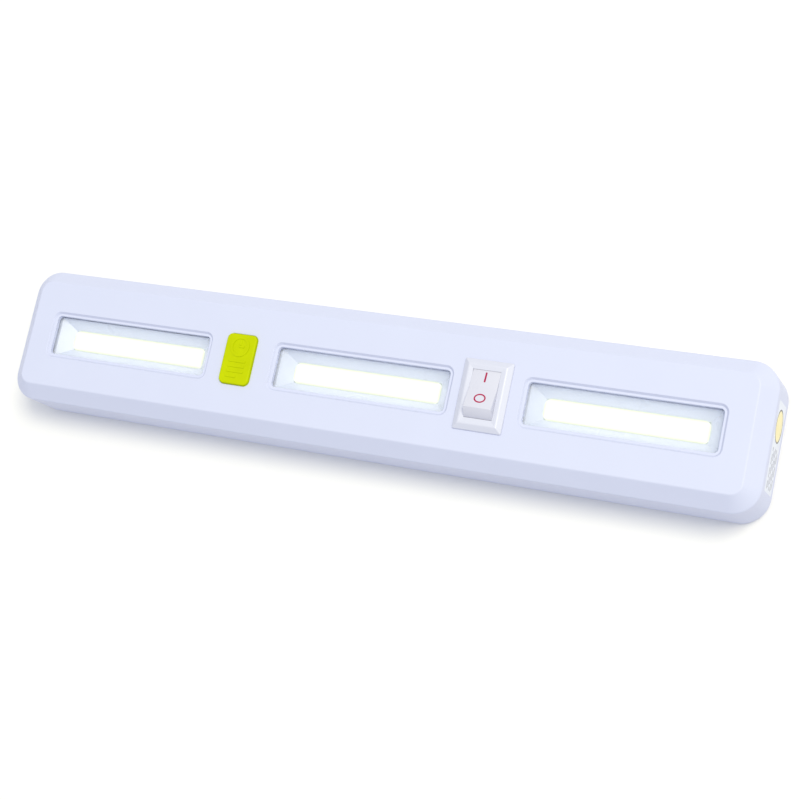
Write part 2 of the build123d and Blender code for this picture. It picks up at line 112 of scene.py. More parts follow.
shell_low, shell_high = corners_mm("front_housing")
body_length, body_width = (shell_high - shell_low)[:2]
parting_z, face_z = shell_low[2], shell_high[2]
body_corner = 8.25
wall = 2.0
draft = 0.25
bevel_drop, bevel_run = 4.4, 4.5
bevel_z = face_z - bevel_drop
ceiling_z = face_z - wall
light_pitch = 80.35
places = {"left": -light_pitch, "middle": 0.0, "right": light_pitch}
button_x, button_y = -40.5, 0.3
switch_x, rocker_y = 39.8, 0.3
print("body", round(body_length, 2), "x", round(body_width, 2), "x", round(face_z, 2), "mm")

# %% [markdown]
# ## One tool for most of the shapes
# Almost everything on this bar is a rounded rectangle that changes size on its way up: walls,
# bevel, windows, button, bezel. So one helper draws a rounded rectangle as a ring of points,
# always with the same number of points, and another stacks such rings along a profile. The
# profile says how far each ring is drawn in and how high it lies. Box modelling with a Bevel
# modifier could do the same, but a written profile keeps every edge radius exact, and the rings
# never twist.

# %% Rings and profiles
QUARTER = math.pi / 2
RING_CORNERS = np.array([(1.0, 1.0), (-1.0, 1.0), (-1.0, -1.0), (1.0, -1.0)])
ALONG_SIDE = np.array([0.004, 0.03, 0.12, 0.3, 0.5, 0.7, 0.88, 0.97, 0.996])


def ring(size, radius, z, centre=(0.0, 0.0), steps=10):
    """A rounded rectangle as points, anticlockwise from above.

    Each corner is a quarter circle about its own centre: centre + radius (cos t, sin t). Each side
    is divided at the same shares of its length, closer together near its ends so that flat sides
    shade flat."""
    radius = max(radius, 0.02)
    turn = np.linspace(0.0, QUARTER, steps + 1)
    angle = QUARTER * np.arange(4)[:, None] + turn
    spread = RING_CORNERS * (np.array(size) / 2 - radius)
    arcs = spread[:, None, :] + radius * np.stack([np.cos(angle), np.sin(angle)], axis=-1)
    leave, arrive = arcs[:, -1], np.roll(arcs[:, 0], -1, axis=0)
    sides = leave[:, None, :] + ALONG_SIDE[None, :, None] * (arrive - leave)[:, None, :]
    flat = np.concatenate([arcs, sides], axis=1).reshape(-1, 2) + np.array(centre)
    return np.column_stack([flat, np.full(len(flat), z)])


def soften(corners, radii, steps=5, margin=0.03):
    """An open profile with each inner corner turned into an arc.

    The arc is the rational curve (A(1-s)^2 + 2 w P s(1-s) + B s^2) / (the same sum of weights),
    with w the cosine of half the turn, which is exactly circular. A point just before and just
    after each arc keeps the neighbouring flats flat when they are shaded smooth."""
    points = np.array(corners, float)
    radii = np.broadcast_to(radii, len(points) - 2)
    s = np.linspace(0.0, 1.0, steps + 1)[:, None]
    out = [points[:1]]
    for before, at, after, radius in zip(points, points[1:], points[2:], radii):
        first, second = at - before, after - at
        room = 0.45 * min(np.linalg.norm(first), np.linalg.norm(second))
        first, second = first / np.linalg.norm(first), second / np.linalg.norm(second)
        half_turn = math.acos(np.clip(first @ second, -1, 1)) / 2
        reach = min(radius * math.tan(half_turn), room)
        if reach < 1e-6:
            out.append(at[None])
            continue
        start, end, weight = at - reach * first, at + reach * second, math.cos(half_turn)
        top = (1 - s) ** 2 * start + 2 * weight * s * (1 - s) * at + s ** 2 * end
        arc = top / ((1 - s) ** 2 + 2 * weight * s * (1 - s) + s ** 2)
        out += [start[None] - margin * first, arc, end[None] + margin * second]
    return np.concatenate(out + [points[-1:]])


def stack(profile, size, radius, centre=(0.0, 0.0), steps=10):
    """Rings stacked along a profile of (drawn in by, height): a grid of rows, each one ring."""
    return np.array([
        ring(np.array(size) - 2 * inset, radius - inset, z, centre, steps) for inset, z in profile])


# %% [markdown]
# ## From grids to meshes
# A grid of points becomes quads between neighbouring rows and columns. A piece may be made of
# several grids, with flat faces filled in between rings. The points where two grids meet are
# merged, so each piece ends as a closed skin whose faces all point outwards.

# %% Mesh builder
pieces_made = []


def quads(rows, columns, offset=0, round_rows=False):
    """Corner numbers of a grid's quads. Its columns close on themselves, and its rows too if asked.

    The quad at row i and column j takes the points (i, j), (i, j+1), (i+1, j+1) and (i+1, j)."""
    i = np.arange(rows if round_rows else rows - 1)[:, None]
    j = np.arange(columns)[None, :]
    nxt_i, nxt_j = (i + 1) % rows, (j + 1) % columns
    corners = [i * columns + j, i * columns + nxt_j, nxt_i * columns + nxt_j, nxt_i * columns + j]
    return np.stack(corners, axis=-1).reshape(-1, 4) + offset


def piece(name, grids, material, body, stands_for=(), lids=(), fills=(), tubes=()):
    """Makes one mesh from grids in millimetres.

    lids are rings closed by one flat face each. fills are lists of rings with a flat face between
    them. tubes are grids closed both ways, such as a hollow post."""
    points, faces, at = [], [], 0
    for grid, closed in [(g, False) for g in grids] + [(t, True) for t in tubes]:
        rows, columns = grid.shape[:2]
        points.append(grid.reshape(-1, 3))
        faces += quads(rows, columns, at, closed).tolist()
        at += rows * columns
    for lid in lids:
        points.append(lid)
        faces.append(list(range(at, at + len(lid))))
        at += len(lid)
    mesh = bpy.data.meshes.new(name)
    mesh.from_pydata((np.concatenate(points) * MM).tolist(), [], faces)
    work = bmesh.new()
    work.from_mesh(mesh)
    for rings in fills:
        edges = []
        for loop in rings:
            corners = [work.verts.new(p) for p in (loop * MM).tolist()]
            edges += [work.edges.new(pair) for pair in zip(corners, corners[1:] + corners[:1])]
        bmesh.ops.triangle_fill(work, use_beauty=True, edges=edges)
    bmesh.ops.remove_doubles(work, verts=work.verts, dist=1e-6)
    bmesh.ops.recalc_face_normals(work, faces=work.faces)
    work.to_mesh(mesh)
    work.free()
    place_piece(name, mesh, material, body, stands_for)


SHARP = math.radians(40)


def place_piece(name, mesh, material, body, stands_for=()):
    """Shades a mesh smooth but for its sharp edges, gives it its finish and sets it on its body."""
    mesh.shade_smooth()
    mesh.set_sharp_from_angle(angle=SHARP)
    mesh.materials.append(material)
    made = bpy.data.objects.new(name, mesh)
    bpy.context.scene.collection.objects.link(made)
    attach(made, body)
    if stands_for:
        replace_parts(made, *stands_for)
    pieces_made.append(name)
    print(name, len(mesh.vertices), "points", len(mesh.polygons), "faces")


# %% [markdown]
# ## Finishes
# Moulded plastic is never one flat colour. Its surface has a fine spark texture from the mould,
# and its gloss changes a little from place to place where the material cooled or has been
# handled. One helper makes that: a fine noise bends the surface normal, and a broad noise shifts
# colour and roughness. Both read Object coordinates, in metres, so the grain has the same size on
# every piece and doesn't need a UV map.

# %% Finish helper
def new_finish(name):
    """An empty material with its principled shader, and short ways to add nodes and links."""
    material = bpy.data.materials.new(name)
    material.use_nodes = True
    tree = material.node_tree
    shader = next(n for n in tree.nodes if n.type == "BSDF_PRINCIPLED")
    return material, tree, shader


def srgb(red, green, blue):
    """A colour given as 0 to 255 display values, as the linear values that shaders work in."""
    c = np.array([red, green, blue]) / 255
    linear = np.where(c <= 0.04045, c / 12.92, ((c + 0.055) / 1.055) ** 2.4)
    return (*linear.tolist(), 1.0)


def noise(tree, scale, detail=3.0, stretch=(1.0, 1.0, 1.0)):
    """A noise texture on Object coordinates. Scale is features per metre."""
    where = tree.nodes.new("ShaderNodeTexCoord")
    mapping = tree.nodes.new("ShaderNodeMapping")
    mapping.inputs["Scale"].default_value = stretch
    texture = tree.nodes.new("ShaderNodeTexNoise")
    texture.inputs["Scale"].default_value = scale
    texture.inputs["Detail"].default_value = detail
    tree.links.new(where.outputs["Object"], mapping.inputs["Vector"])
    tree.links.new(mapping.outputs["Vector"], texture.inputs["Vector"])
    return texture.outputs["Fac"]


def math_node(tree, kind, a, b=0.0):
    """A math node. Each input is a number or another node's output."""
    node = tree.nodes.new("ShaderNodeMath")
    node.operation = kind
    for socket, value in zip(node.inputs, (a, b)):
        if isinstance(value, bpy.types.NodeSocket):
            tree.links.new(value, socket)
        else:
            socket.default_value = value
    return node.outputs[0]


def place_axes(tree):
    """The X, Y and Z of Object coordinates, in metres."""
    where = tree.nodes.new("ShaderNodeTexCoord")
    split = tree.nodes.new("ShaderNodeSeparateXYZ")
    tree.links.new(where.outputs["Object"], split.inputs[0])
    return split.outputs


def ramp(tree, value, low, high):
    """Maps a noise's middle range, 0.3 to 0.7, to low to high."""
    node = tree.nodes.new("ShaderNodeMapRange")
    node.inputs["From Min"].default_value, node.inputs["From Max"].default_value = 0.3, 0.7
    node.inputs["To Min"].default_value, node.inputs["To Max"].default_value = low, high
    tree.links.new(value, node.inputs["Value"])
    return node.outputs["Result"]


def mix_colour(tree, share, first, second):
    """A colour between two, by a share from 0 to 1. Either may be a colour or a node's output."""
    node = tree.nodes.new("ShaderNodeMix")
    node.data_type = "RGBA"
    tree.links.new(share, node.inputs["Factor"])
    for socket, colour in ((node.inputs[6], first), (node.inputs[7], second)):
        if isinstance(colour, bpy.types.NodeSocket):
            tree.links.new(colour, socket)
        else:
            socket.default_value = colour
    return node.outputs[2]


def bump(tree, shader, height, distance, strength=1.0):
    """Bends the shader's normal by a height, whose full range is distance metres."""
    node = tree.nodes.new("ShaderNodeBump")
    node.inputs["Strength"].default_value = strength
    node.inputs["Distance"].default_value = distance
    tree.links.new(height, node.inputs["Height"])
    tree.links.new(node.outputs["Normal"], shader.inputs["Normal"])


def moulded(name, colour, roughness, metallic=0.0, grain=2600.0, depth=6e-6, mottle=0.03,
            broad=70.0, spread=0.06, stretch=(1.0, 1.0, 1.0), specular=0.5):
    """A finish with a fine grain and broad patches.

    grain is features per metre and depth their height in metres. broad is patches per metre, over
    which the colour changes by the share mottle and the roughness by plus or minus spread."""
    material, tree, shader = new_finish(name)
    patches = noise(tree, broad, 4.0)
    darker = (*[c * (1 - mottle) for c in colour[:3]], 1.0)
    mottled = mix_colour(tree, ramp(tree, patches, 0.0, 1.0), darker, colour)
    tree.links.new(mottled, shader.inputs["Base Color"])
    gloss = ramp(tree, patches, roughness - spread, roughness + spread)
    tree.links.new(gloss, shader.inputs["Roughness"])
    bump(tree, shader, noise(tree, grain, 2.0, stretch), depth)
    shader.inputs["Metallic"].default_value = metallic
    shader.inputs["Specular IOR Level"].default_value = specular
    return material


# %% [markdown]
# ## The white plastics
# Shell, back and switch are all white, but each in its own way: the shell is a cool white ABS
# with a satin face, the back cover is the same plastic from the rougher half of a mould, and the
# switch is glossier nylon that is a little less blue.

# %% White plastics
shell_white = moulded("shell_white", (0.61, 0.64, 0.82, 1.0), 0.42, grain=3200.0, depth=4e-6,
                      mottle=0.012, specular=0.25)
cover_white = moulded("cover_white", (0.59, 0.63, 0.83, 1.0), 0.55, grain=2400.0, depth=1.2e-5)
bezel_white = moulded("bezel_white", (0.63, 0.645, 0.77, 1.0), 0.34, depth=2e-6, mottle=0.01)
rocker_white = moulded("rocker_white", (0.625, 0.63, 0.74, 1.0), 0.30, depth=2e-6, mottle=0.012)
print("white plastics ready")

# %% [markdown]
# ## The shell
# The front housing is one moulding: upright walls with a little draft, a wide bevel, and the flat
# face with three stepped windows and two holes. Its edges are where light catches, so each gets
# its own small radius. The outside is one stack of rings from the parting line up to the face.
# Each window is another stack that starts in the face and goes down over its step. A flat fill
# joins them, and the same is done for the ceiling inside, so the shell is a closed skin with a
# real thickness.

# %% Shell outside and inside
outer_size = (body_length, body_width)
# The walls' two stacks meet at the lip. The flat fills start at the other two insets.
lip, face_inset, ceiling_inset = 0.35, 6.4, 8.6
bevel_inset = draft + bevel_run
ceiling_edge = bevel_inset + 1.13
foot_drop = wall * math.tan(0.5 * math.atan2(bevel_run, bevel_drop))
outside = soften(
    [(lip, parting_z), (0.0, parting_z), (draft, bevel_z), (bevel_inset, face_z),
     (face_inset, face_z)],
    (0.25, 0.9, 0.8))
inside = soften(
    [(ceiling_inset, ceiling_z), (ceiling_edge, ceiling_z), (draft + wall, bevel_z - foot_drop),
     (wall, parting_z), (lip, parting_z)],
    (0.3, 0.3, 0.25))
outer_grid = stack(outside, outer_size, body_corner, steps=14)
inner_grid = stack(inside, outer_size, body_corner, steps=14)

# %% Windows
window_size, window_corner = (59.0, 15.1), 2.6
ledge, ledge_slope, ledge_z, window_back = 1.3, 0.6, face_z - 0.7, 0.9
surround = 0.5
window_profile = soften(
    [(-surround, face_z), (0.0, face_z), (ledge_slope, ledge_z), (ledge, ledge_z),
     (ledge, ceiling_z), (window_back, ceiling_z)],
    (0.15, 0.12, 0.12, 0.05), steps=4, margin=0.02)
window_grids = [stack(window_profile, window_size, window_corner, (x, 0.0))
                for x in places.values()]

# %% Holes for the button and the switch
button_size, button_corner, button_gap = (10.1, 15.7), 1.75, 0.2
button_hole_size = tuple(side + 2 * button_gap for side in button_size)
switch_hole_size, switch_hole_corner = (13.3, 19.3), 0.6
hole_profile = soften(
    [(-surround, face_z), (0.0, face_z), (0.0, ceiling_z), (-surround, ceiling_z)],
    (0.1, 0.1), steps=4, margin=0.02)
button_hole = stack(hole_profile, button_hole_size, button_corner + button_gap,
                    (button_x, button_y))
switch_hole = stack(hole_profile, switch_hole_size, switch_hole_corner, (switch_x, 0.0))
opening_grids = [*window_grids, button_hole, switch_hole]
print(len(opening_grids), "openings in the face")

# %% Posts and frames behind the face
def hollow(outer, inner, outer_r, inner_r, low, high, centre):
    """A hollow post or frame: four rings, joined round both ways."""
    rings = [(inner, inner_r, high), (inner, inner_r, low),
             (outer, outer_r, low), (outer, outer_r, high)]
    return np.array([ring(size, radius, z, centre, 6) for size, radius, z in rings])


def hollow_post(x, y, radius, bore, low, high):
    """A round hollow post: a square frame whose corner radius is half its side, so a circle."""
    return hollow((2 * radius, 2 * radius), (2 * bore, 2 * bore), radius, bore, low, high, (x, y))


BOTH = (-1, 1)
into_face = ceiling_z + 0.3
lens_frame = {"outer": (62.8, 19.2), "inner": (60.4, 16.8), "outer_r": 3.2, "inner_r": 2.2,
              "low": 18.8, "high": into_face}
reflector_post_x, reflector_post_y = 20.0, 12.6
reflector_post = {"radius": 2.5, "bore": 0.92, "low": 16.2, "high": into_face}
housing_posts = ((112.0, 13.0, 18.9), (50.0, 14.5, 20.0))
housing_post = {"radius": 2.6, "bore": 1.17, "low": 3.4}
board_posts_y = (-13.0, 13.0)
board_post = {"radius": 2.0, "bore": 0.87, "low": 13.2, "high": into_face}

inner_parts = [hollow(**lens_frame, centre=(x, 0.0)) for x in places.values()]
inner_parts += [hollow_post(x + sx * reflector_post_x, sy * reflector_post_y, **reflector_post)
                for x in places.values() for sx in BOTH for sy in BOTH]
inner_parts += [hollow_post(sx * x, sy * y, high=top, **housing_post)
                for x, y, top in housing_posts for sx in BOTH for sy in BOTH]
inner_parts += [hollow_post(button_x, y, **board_post) for y in board_posts_y]

# %% The whole shell
face_fill = [outer_grid[-1], *[g[0] for g in opening_grids]]
ceiling_fill = [inner_grid[0], *[g[-1] for g in opening_grids]]
piece("shell", [outer_grid, inner_grid, *opening_grids], shell_white, "case",
      ["front_housing"], fills=[face_fill, ceiling_fill], tubes=inner_parts)

# %% [markdown]
# ## The button
# The timer button is soft lime rubber: a flat cap with well rounded rims, and a bead round it
# that fills the gap in the face. On the real one the button's use is moulded into the top. Here
# it carries a plain clock face and four bars instead, as raised shapes of the same rubber. The
# cap is one stack of rings, and each raised shape is a tiny stack of its own.

# %% Lime rubber
lime, lime_tree, lime_shader = new_finish("lime_rubber")
lime_patch = noise(lime_tree, 160.0, 4.0)
lime_share = ramp(lime_tree, lime_patch, 0.0, 1.0)
lime_mix = mix_colour(lime_tree, lime_share, srgb(182, 194, 0), srgb(190, 203, 0))
lime_tree.links.new(lime_mix, lime_shader.inputs["Base Color"])
lime_tree.links.new(ramp(lime_tree, lime_patch, 0.42, 0.56), lime_shader.inputs["Roughness"])
bump(lime_tree, lime_shader, noise(lime_tree, 5200.0, 2.0), 8e-6)
lime_shader.inputs["Specular IOR Level"].default_value = 0.06

# %% Button cap
button_top = corners_mm("timer_button")[1][2]
skirt_low, skirt_high, skirt = 17.4, 19.9, 0.95
bead, bead_top = 0.17, face_z - 0.15
snug = 0.04
cap_profile = soften(
    [(2.6, skirt_low), (-skirt, skirt_low), (-skirt, skirt_high), (-bead, skirt_high),
     (-bead, bead_top), (-snug, bead_top), (-snug, button_top), (4.0, button_top)],
    (0.1, 0.15, 0.1, 0.03, 0.03, 0.8), steps=6)
cap = stack(cap_profile, button_size, button_corner, (button_x, button_y))

# %% Button clock and bars
mark_foot, mark_top, mark_corner = button_top - 0.12, button_top + 0.18, 0.3
mark_profile = soften(
    [(0.0, mark_foot), (0.0, mark_top), (0.2, mark_top)], (0.14,), steps=3, margin=0.01)
clock_y, clock_r, clock_hollow_r, clock_foot = button_y + 3.9, 3.2, 2.45, button_top - 0.3
bar_width, long_bar, short_bar = 0.75, (5.8, 0.0), (3.6, -1.1)
bars_y = (-0.7, -2.3, -3.9, -5.5)


def mark(size, dx, y):
    """One raised bar with round ends, at a place on the button's top."""
    return stack(mark_profile, size, mark_corner, (button_x + dx, y), steps=4)


bars = [mark((length, bar_width), dx, button_y + y)
        for (length, dx), y in zip((long_bar, long_bar, long_bar, short_bar), bars_y)]
hands = [mark((0.7, 1.6), 0.0, clock_y + 1.2), mark((1.9, 0.7), 0.6, clock_y)]
clock_ring = hollow_post(button_x, clock_y, clock_r, clock_hollow_r, clock_foot, mark_top)
marks = bars + hands
piece("button_cap", [cap, *marks], lime, "button", ["timer_button"],
      lids=[cap[0][::-1], cap[-1], *[m[-1] for m in marks], *[m[0][::-1] for m in marks]],
      tubes=[clock_ring])

# %% [markdown]
# ## The switch
# A snap-in rocker switch: a raised frame with a sloping edge, and a rocker that tilts in its
# well. The frame is again one stack of rings, this time going up the outside, over the rim, which
# dips a little towards the rocker, and down into the well. The well sits a little off the frame's
# middle, so its rings are shifted.

# %% Switch frame
bezel_size, bezel_top = (15.0, 21.0), corners_mm("switch_body")[1][2]
bezel_slope, bezel_edge = 1.7, 0.5
bezel_corner, bezel_seat = 0.45, face_z - 0.02
box_inset, box_low = 1.0, 11.5
well_inset, well_lip, rim_dish = 3.23, 0.45, 0.24
cavity_inset, cavity_low = 1.76, 12.5
frame_profile = soften(
    [(1.4, box_low), (box_inset, box_low), (box_inset, bezel_seat), (0.0, bezel_seat),
     (0.0, face_z + bezel_edge), (bezel_slope, bezel_top), (well_inset, bezel_top - rim_dish),
     (well_inset, bezel_top - well_lip), (cavity_inset, bezel_top - well_lip),
     (cavity_inset, cavity_low)],
    (0.1, 0.0, 0.05, 0.22, 0.9, 0.08, 0.05, 0.05), steps=4, margin=0.02)
bezel_rings = stack(frame_profile, bezel_size, bezel_corner, (switch_x, 0.0), steps=5)
# The shift starts just past the rim's last flat point, so at the I end that point stands about
# 0.2 mm over the well.
first_shifted = np.argmax(frame_profile[:, 0] > well_inset - 0.4) + 1
bezel_rings[first_shifted:, :, 1] += rocker_y
piece("switch_frame", [bezel_rings], bezel_white, "case", ["switch_body"],
      lids=[bezel_rings[0][::-1], bezel_rings[-1]])

# %% [markdown]
# ## The rocker
# Seen from its side the rocker is a shallow V, with ends that are arcs about the pivot, so they
# keep the same gap to the well as it tilts. We draw that outline once, round its corners, and
# carry it across the rocker's width. Near each side the outline is drawn in a little, which
# rounds the long edges. It is then turned to its rest position, with the I end down.

# %% Rocker outline
pivot_z, rocker_r, rocker_throw, rocker_width = 18.56, 8.58, math.radians(12.9), 8.5
valley, crease, belly, belly_y = 5.54, 2.0, 1.6, 6.8
edge_angle, end_angle = math.radians(45.2), math.radians(20.0)
arc_turn = np.linspace(edge_angle, end_angle, 9)
end_arc = rocker_r * np.column_stack([np.cos(arc_turn), np.sin(arc_turn)])
slope = (end_arc[0, 1] - valley) / end_arc[0, 0]
half_outline = soften(
    [(0.0, valley), (crease, valley + crease * slope), *end_arc, (belly_y, belly), (0.0, belly)],
    [0.0, 0.14] + [0.0] * (len(end_arc) - 1) + [0.2], steps=5)
outline = np.concatenate([half_outline, half_outline[-2:0:-1] * (-1.0, 1.0)])


def drawn_in(points, inset):
    """A closed outline moved inwards: each point goes along the mean of its two edges' normals."""
    ahead = np.roll(points, -1, axis=0) - points
    normal = np.column_stack([-ahead[:, 1], ahead[:, 0]])
    normal /= np.maximum(np.linalg.norm(normal, axis=1), 1e-9)[:, None]
    mean = normal + np.roll(normal, 1, axis=0)
    mean /= np.linalg.norm(mean, axis=1)[:, None]
    turned = np.sum(points * np.roll(points, -1, axis=0)[:, ::-1] * (1, -1))
    return points + inset * mean * (1.0 if turned > 0 else -1.0)


def set_at_rest(points):
    """Points about the pivot, turned by the rest tilt about +X and set in the switch.

    With t the tilt, y becomes y cos t - z sin t and z becomes y sin t + z cos t."""
    c, s = math.cos(-rocker_throw), math.sin(-rocker_throw)
    x, y, z = points[..., 0], points[..., 1], points[..., 2]
    return np.stack([x + switch_x, y * c - z * s + rocker_y, y * s + z * c + pivot_z], axis=-1)


# %% Rocker across its width
side_round = 0.12
lean_in = np.linspace(QUARTER, 0.0, 6)
edge_x = side_round * (1 - np.sin(lean_in)) - rocker_width / 2
edge_inset = side_round * (1 - np.cos(lean_in))
edge_x = np.concatenate([edge_x, -edge_x[::-1]])
edge_inset = np.concatenate([edge_inset, edge_inset[::-1]])
rocker_grid = set_at_rest(np.array([
    np.column_stack([np.full(len(outline), x), drawn_in(outline, inset)])
    for x, inset in zip(edge_x, edge_inset)]))
piece("rocker_cap", [rocker_grid], rocker_white, "rocker", ["switch_rocker"],
      lids=[rocker_grid[0], rocker_grid[-1][::-1]])

# %% [markdown]
# ## I and O
# The two marks are printed in crimson. Each is a very thin raised shape, laid on the rocker's
# slope: a flat bar, and a ring that is the area between two ellipses.

# %% Rocker marks
crimson = moulded("crimson_print", srgb(170, 0, 72), 0.5, grain=6000.0, depth=3e-6, mottle=0.06,
                  specular=0.2)
print_root, print_height = -0.05, 0.035


def on_slope(x, y, height):
    """A point at a height above the rocker's top, whose own height is valley + slope |y|."""
    top = valley + slope * np.abs(y)
    return np.stack([x, y, top + height], axis=-1)


# %% The I
i_y, i_corner = 3.7, 0.1
i_rows = [(0.5, 3.0, print_root), (0.5, 3.0, print_height), (0.2, 2.7, print_height)]
i_grid = set_at_rest(np.array([
    on_slope(*ring((width, length), i_corner, 0.0, (0.0, i_y), 4).T[:2], h)
    for width, length, h in i_rows]))

# %% The O
o_y, o_half_x, o_half_y, o_stroke = -2.95, 1.78, 1.46, 0.4
o_turn = np.linspace(0, 2 * math.pi, 48, endpoint=False)
o_rows = [(0.0, print_root), (0.0, print_height), (o_stroke, print_height), (o_stroke, print_root)]
o_grid = set_at_rest(np.array([
    on_slope((o_half_x - inset) * np.cos(o_turn), o_y + (o_half_y - inset) * np.sin(o_turn), h)
    for inset, h in o_rows]))
piece("rocker_marks", [i_grid], crimson, "rocker",
      lids=[i_grid[-1], i_grid[0][::-1]], tubes=[o_grid])

# %% [markdown]
# ## The lamps
# Behind each window lies a strip of LEDs under a soft gel, at the bottom of a bright funnel. The
# gel is yellow where it is thin, at its rim, and glows nearly white in the middle. So its finish
# is an emission whose colour depends on how near a point is to the strip's rim.

# %% Gel strips
gel_size, gel_radius, gel_low, gel_top = (48.4, 6.6), 2.2, 15.0, 15.85
gel_glow = 1.5
gel_tones = (
    (0.0, (1.0, 1.0, 0.98)),
    (0.6, (0.66, 0.68, 0.57)),
    (0.88, (0.52, 0.55, 0.40)),
    (1.0, (0.34, 0.40, 0.24)),
)


def gel_finish(name, centre_x):
    """White glow in the middle, yellow-green at the rim.

    How far a point lies outside a smaller strip, max(|x - centre| - half length, |y| - half width),
    divided by the rim's width, picks its tone from the ramp."""
    material, tree, shader = new_finish(name)
    x, y, _ = place_axes(tree)
    rim_width = 2.0 * MM
    half_length, half_width = np.array(gel_size) / 2 * MM
    along = math_node(tree, "ABSOLUTE", math_node(tree, "SUBTRACT", x, centre_x * MM))
    across = math_node(tree, "ABSOLUTE", y)
    past_end = math_node(tree, "SUBTRACT", along, half_length - rim_width)
    past_side = math_node(tree, "SUBTRACT", across, half_width - rim_width)
    past_rim = math_node(tree, "MAXIMUM", past_end, past_side)
    towards_rim = math_node(tree, "DIVIDE", past_rim, rim_width)
    tones = tree.nodes.new("ShaderNodeValToRGB")
    while len(tones.color_ramp.elements) < len(gel_tones):
        tones.color_ramp.elements.new(0.5)
    for element, (at, colour) in zip(tones.color_ramp.elements, gel_tones):
        element.position, element.color = at, (*colour, 1.0)
    tree.links.new(towards_rim, tones.inputs["Fac"])
    tree.links.new(tones.outputs["Color"], shader.inputs["Emission Color"])
    shader.inputs["Emission Strength"].default_value = gel_glow
    shader.inputs["Base Color"].default_value = (0.16, 0.16, 0.08, 1.0)
    shader.inputs["Roughness"].default_value = 0.35
    bump(tree, shader, noise(tree, 900.0, 2.0), 4e-5)
    return material


gel_profile = soften([(0.0, gel_low), (0.0, gel_top), (2.4, gel_top)], (0.5,), steps=5, margin=0.02)
for place, x in places.items():
    gel = stack(gel_profile, gel_size, gel_radius, (x, 0.0))
    piece(f"gel_strip_{place}", [gel], gel_finish(f"gel_glow_{place}", x), "case",
          [f"cob_phosphor_{place}"], lids=[gel[0][::-1], gel[-1]])

# %% [markdown]
# ## Clear lens and bright funnel
# The lens is a flat clear plate. In a render, a thin clear plate needs no refraction: it is
# enough that it lets light straight through and keeps a faint gloss, so it is mostly transparent
# and smooth. The funnel is vacuum metallised, so it is bright and a little blurred.

# %% Lens and reflector finishes
lens_clear, lens_tree, lens_shader = new_finish("lens_clear")
lens_shader.inputs["Base Color"].default_value = (0.82, 0.88, 1.0, 1.0)
lens_haze = ramp(lens_tree, noise(lens_tree, 220.0), 0.03, 0.09)
lens_tree.links.new(lens_haze, lens_shader.inputs["Roughness"])
lens_shader.inputs["Alpha"].default_value = 0.15
lens_clear.surface_render_method = "BLENDED"
funnel_bright = moulded("funnel_bright", (0.73, 0.77, 0.90, 1.0), 0.32, metallic=0.1, grain=1800.0,
                        depth=3e-6, mottle=0.02)
print("lens and funnel ready")

# %% [markdown]
# ## The end label
# A paper label sits on the right end. It carries no words here: only a cream dot with a dark
# outline and rows of grey dashes. The dot is worked out from the distance of each point to its
# centre. A sine wave up the wall makes the rows, and another along the wall, shifted from row to
# row, breaks them into dashes. A pattern in the finish is enough, because print has no thickness.
# The sheet itself is a thin piece that follows the leaning wall, a hair above it, so that the two
# surfaces never coincide.

# %% Label finish
label_paper, label_tree, label_shader = new_finish("label_paper")
_, label_y, label_z = place_axes(label_tree)
dot_y, dot_z, dot_r, dot_line = 5.6 * MM, 9.6 * MM, 4.3 * MM, 0.45 * MM
row_pitch, dash_pitch, row_shift = 1.7 * MM, 3.7 * MM, 2.1
rows_y, rows_z = (-12.2 * MM, -0.6 * MM), (5.2 * MM, 13.6 * MM)


def label_math(kind, a, b=0.0):
    """A math node of the label's tree."""
    return math_node(label_tree, kind, a, b)


def squared_from(value, centre):
    """The square of a coordinate's distance from a centre."""
    return label_math("POWER", label_math("SUBTRACT", value, centre), 2.0)


def between(value, low, high):
    """1 where the value lies between two limits."""
    below, above = label_math("LESS_THAN", value, high), label_math("GREATER_THAN", value, low)
    return label_math("MULTIPLY", below, above)


# %% Label print
dot_squares = label_math("ADD", squared_from(label_y, dot_y), squared_from(label_z, dot_z))
from_dot = label_math("SQRT", dot_squares)
inside_dot = label_math("LESS_THAN", from_dot, dot_r)
inside_line = label_math("LESS_THAN", from_dot, dot_r + dot_line)
outline_dot = label_math("SUBTRACT", inside_line, inside_dot)
row_wave = label_math("SINE", label_math("MULTIPLY", label_z, 2 * math.pi / row_pitch))
row_number = label_math("FLOOR", label_math("DIVIDE", label_z, row_pitch))
dash_phase = label_math("MULTIPLY", row_number, row_shift)
dash_turn = label_math("MULTIPLY", label_y, 2 * math.pi / dash_pitch)
dash_wave = label_math("SINE", label_math("ADD", dash_turn, dash_phase))
dashes = label_math("MULTIPLY", label_math("GREATER_THAN", row_wave, 0.3),
                    label_math("GREATER_THAN", dash_wave, -0.75))
in_block = label_math("MULTIPLY", between(label_y, *rows_y), between(label_z, *rows_z))
fibres = ramp(label_tree, noise(label_tree, 900.0, 5.0), 0.0, 1.0)
paper = mix_colour(label_tree, fibres, (0.72, 0.75, 0.86, 1.0), (0.77, 0.80, 0.90, 1.0))
with_dot = mix_colour(label_tree, inside_dot, paper, srgb(240, 228, 178))
with_line = mix_colour(label_tree, outline_dot, with_dot, srgb(96, 92, 96))
ink = label_math("MULTIPLY", dashes, in_block)
printed = mix_colour(label_tree, ink, with_line, srgb(150, 152, 166))
label_gloss = ramp(label_tree, noise(label_tree, 300.0), 0.42, 0.58)
label_tree.links.new(printed, label_shader.inputs["Base Color"])
label_tree.links.new(label_gloss, label_shader.inputs["Roughness"])

